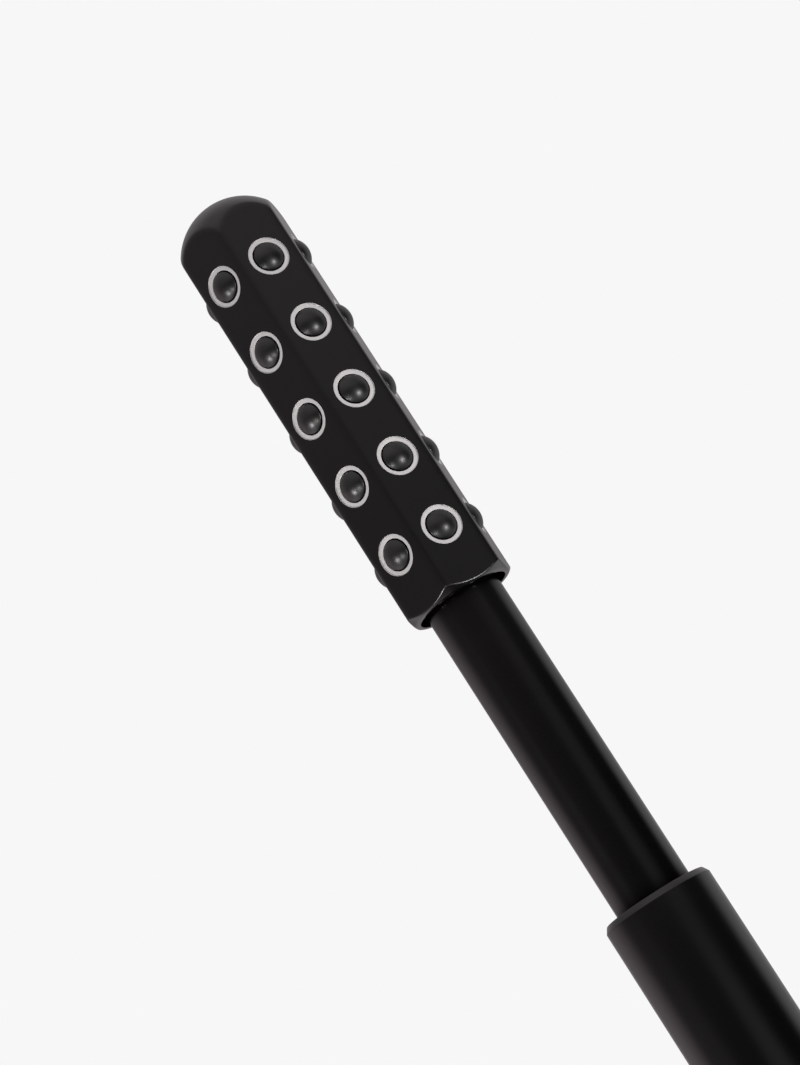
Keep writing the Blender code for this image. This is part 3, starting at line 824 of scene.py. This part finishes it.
def add_camera():
    """The photograph's camera, with its roll."""
    data = bpy.data.cameras.new("photo_camera")
    data.sensor_fit = "VERTICAL"
    data.sensor_height = SENSOR_HEIGHT_MM
    data.lens = CAMERA_FOCAL_PIXELS * SENSOR_HEIGHT_MM / IMAGE_HEIGHT_PIXELS
    data.clip_start = CAMERA_NEAR
    camera = bpy.data.objects.new("photo_camera", data)
    bpy.context.scene.collection.objects.link(camera)
    right, up, back = Vector(CAMERA_RIGHT), Vector(CAMERA_UP), -Vector(CAMERA_FORWARD)
    turn = Matrix((right, up, back)).transposed().to_4x4()
    camera.matrix_world = Matrix.Translation(CAMERA_PLACE) @ turn
    bpy.context.scene.camera = camera


def direction(azimuth_degrees, elevation_degrees):
    azimuth, elevation = math.radians(azimuth_degrees), math.radians(elevation_degrees)
    flat = math.cos(elevation)
    return Vector((flat * math.cos(azimuth), flat * math.sin(azimuth), math.sin(elevation)))


def add_lamps():
    """Small softboxes with grids, aimed at the barrel from below."""
    for name, azimuth, elevation, power in LAMPS:
        data = bpy.data.lights.new(name, "AREA")
        data.shape = "DISK"
        data.size = LAMP_SIZE
        data.spread = math.radians(LAMP_SPREAD)
        data.energy = power
        data.color = LAMP_COLOUR
        lamp = bpy.data.objects.new(name, data)
        bpy.context.scene.collection.objects.link(lamp)
        toward = direction(azimuth, elevation)
        lamp.location = LAMP_TARGET + toward * LAMP_DISTANCE
        lamp.rotation_euler = toward.to_track_quat("Z", "Y").to_euler()
        lamp.visible_camera = False


def add_toward(tree, place, azimuth, elevation):
    """How far a direction points toward a place in the studio, from -1 to 1."""
    toward = tree.nodes.new("ShaderNodeVectorMath")
    toward.operation = "DOT_PRODUCT"
    toward.inputs[1].default_value = direction(azimuth, elevation)
    tree.links.new(place.outputs["Generated"], toward.inputs[0])
    return toward.outputs["Value"]


def add_rise(tree, height, start, end, low, high, kind="SMOOTHSTEP"):
    """A fade between two elevations given in degrees."""
    return add_fade(tree, height, math.sin(math.radians(start)), math.sin(math.radians(end)), low, high, kind)


def add_ring(tree, compass, stops):
    """The studio's colour by direction, from (azimuth in degrees, brightness, warmth) stops."""
    ring = tree.nodes.new("ShaderNodeValToRGB")
    tree.links.new(compass, ring.inputs["Fac"])
    made = ring.color_ramp.elements
    while len(made) < len(stops):
        made.new(0.5)
    for stop, (azimuth, brightness, warmth) in zip(made, stops):
        stop.position = azimuth / 360 + 0.5
        green = brightness * (1 - WARM_GREEN * warmth)
        blue = brightness * (1 - WARM_BLUE * warmth)
        stop.color = (brightness, green, blue, 1.0)
    return ring.outputs["Color"]


def add_difference(tree, more, less):
    """One share less another."""
    difference = tree.nodes.new("ShaderNodeMath")
    difference.operation = "SUBTRACT"
    tree.links.new(more, difference.inputs[0])
    tree.links.new(less, difference.inputs[1])
    return difference.outputs["Value"]


def add_light(tree, colour, strength):
    """Light from all round. Its colour and strength are plain values or what another node gives."""
    light = tree.nodes.new("ShaderNodeBackground")
    for name, given in (("Color", colour), ("Strength", strength)):
        if isinstance(given, bpy.types.NodeSocket):
            tree.links.new(given, light.inputs[name])
        else:
            light.inputs[name].default_value = given
    return light.outputs["Background"]


def add_choice(tree, kind_of_ray, others, chosen):
    """One light for a kind of ray and another for all others."""
    choice = tree.nodes.new("ShaderNodeMixShader")
    tree.links.new(kind_of_ray, choice.inputs["Fac"])
    tree.links.new(others, choice.inputs[1])
    tree.links.new(chosen, choice.inputs[2])
    return choice.outputs["Shader"]


def mirrored_studio(tree, place):
    """What the surfaces mirror: walls, a canopy over them, the ceiling, softboxes and the floor.

    The floor turns dark again straight below, where the tool itself stands."""
    parts = tree.nodes.new("ShaderNodeSeparateXYZ")
    tree.links.new(place.outputs["Generated"], parts.inputs["Vector"])
    height = parts.outputs["Z"]
    gradient = tree.nodes.new("ShaderNodeTexGradient")
    gradient.gradient_type = "RADIAL"
    tree.links.new(place.outputs["Generated"], gradient.inputs["Vector"])
    compass = gradient.outputs["Fac"]

    walls = add_rise(tree, height, WALLS_FULL, WALLS_END, 1.0, 0.0, "LINEAR")
    ceiling = add_rise(tree, height, CEILING_STARTS, CEILING_FULL, 0.0, 1.0)
    upper = add_rise(tree, height, CANOPY_STARTS, CANOPY_FULL, 0.0, 1.0)
    lower = add_rise(tree, height, MIRRORED_FLOOR_FULL, MIRRORED_FLOOR_STARTS, MIRRORED_FLOOR, 0.0)
    underside = add_rise(tree, height, UNDERSIDE_FULL, UNDERSIDE_STARTS, UNDERSIDE_DARKENING, 0.0)
    lights = [
        add_light(tree, add_ring(tree, compass, STUDIO_WALLS), walls),
        add_light(tree, add_ring(tree, compass, STUDIO_CANOPY), add_difference(tree, upper, ceiling)),
        add_light(tree, CEILING_COLOUR, ceiling),
    ]
    for azimuth, elevation, full, ends, brightness in SOFTBOXES:
        low, high = math.cos(math.radians(ends)), math.cos(math.radians(full))
        toward = add_toward(tree, place, azimuth, elevation)
        lights.append(add_light(tree, STUDIO_GREY, add_fade(tree, toward, low, high, 0.0, brightness)))
    lights.append(add_light(tree, STUDIO_GREY, add_difference(tree, lower, underside)))

    whole = lights[0]
    for light in lights[1:]:
        both = tree.nodes.new("ShaderNodeAddShader")
        tree.links.new(whole, both.inputs[0])
        tree.links.new(light, both.inputs[1])
        whole = both.outputs["Shader"]
    return whole


def add_world():
    """Pale to the eye and even in its soft light, and in reflections a studio with bright and dark sides."""
    world = bpy.data.worlds.new("studio")
    bpy.context.scene.world = world
    world.use_nodes = True
    tree = world.node_tree
    tree.nodes.clear()
    place = tree.nodes.new("ShaderNodeTexCoord")
    path = tree.nodes.new("ShaderNodeLightPath")

    mirrored = mirrored_studio(tree, place)
    toward_key = add_toward(tree, place, SOFT_KEY_AZIMUTH, 0)
    softness = add_fade(tree, toward_key, -1, 1, 1 - SOFT_KEY_SHARE, 1 + SOFT_KEY_SHARE, "LINEAR")
    soft = add_light(tree, STUDIO_GREY, softness)
    seen = add_light(tree, BACKDROP, 1.0)
    unseen = add_choice(tree, path.outputs["Is Glossy Ray"], soft, mirrored)
    whole = add_choice(tree, path.outputs["Is Camera Ray"], unseen, seen)
    output = tree.nodes.new("ShaderNodeOutputWorld")
    tree.links.new(whole, output.inputs["Surface"])


def add_floor():
    """A wide pale floor that the tool stands on. The surfaces mirror the studio's floor in its place."""
    mesh = bmesh.new()
    reach = FLOOR_REACH
    corners = [(-reach, -reach, 0.0), (reach, -reach, 0.0), (reach, reach, 0.0), (-reach, reach, 0.0)]
    mesh.faces.new([mesh.verts.new(corner) for corner in corners])
    data = bpy.data.meshes.new("floor")
    mesh.to_mesh(data)
    mesh.free()
    made, tree, shader = material("pale_floor")
    speck = add_noise(tree, FLOOR_SPECK_SCALE, 2.0)
    tree.links.new(add_tint(tree, speck, *FLOOR_GREYS), shader.inputs["Base Color"])
    shader.inputs["Roughness"].default_value = 0.8
    shader.inputs["Specular IOR Level"].default_value = 0.2
    data.materials.append(made)
    floor = bpy.data.objects.new("floor", data)
    floor.visible_glossy = False
    bpy.context.scene.collection.objects.link(floor)


def main():
    anodised = anodised_material()
    bevel = turned_bevel_material()
    add_camera()
    build_handle_sleeve(anodised, bevel)
    build_end_cap(anodised)
    build_neck(neck_material())
    build_barrel([anodised, cut_aluminium_material(), shadow_gap_material(), bevel])
    build_stones(stone_material())
    dress_inner_pieces()
    add_lamps()
    add_world()
    add_floor()
    bpy.context.scene.view_settings.view_transform = "Standard"


main()
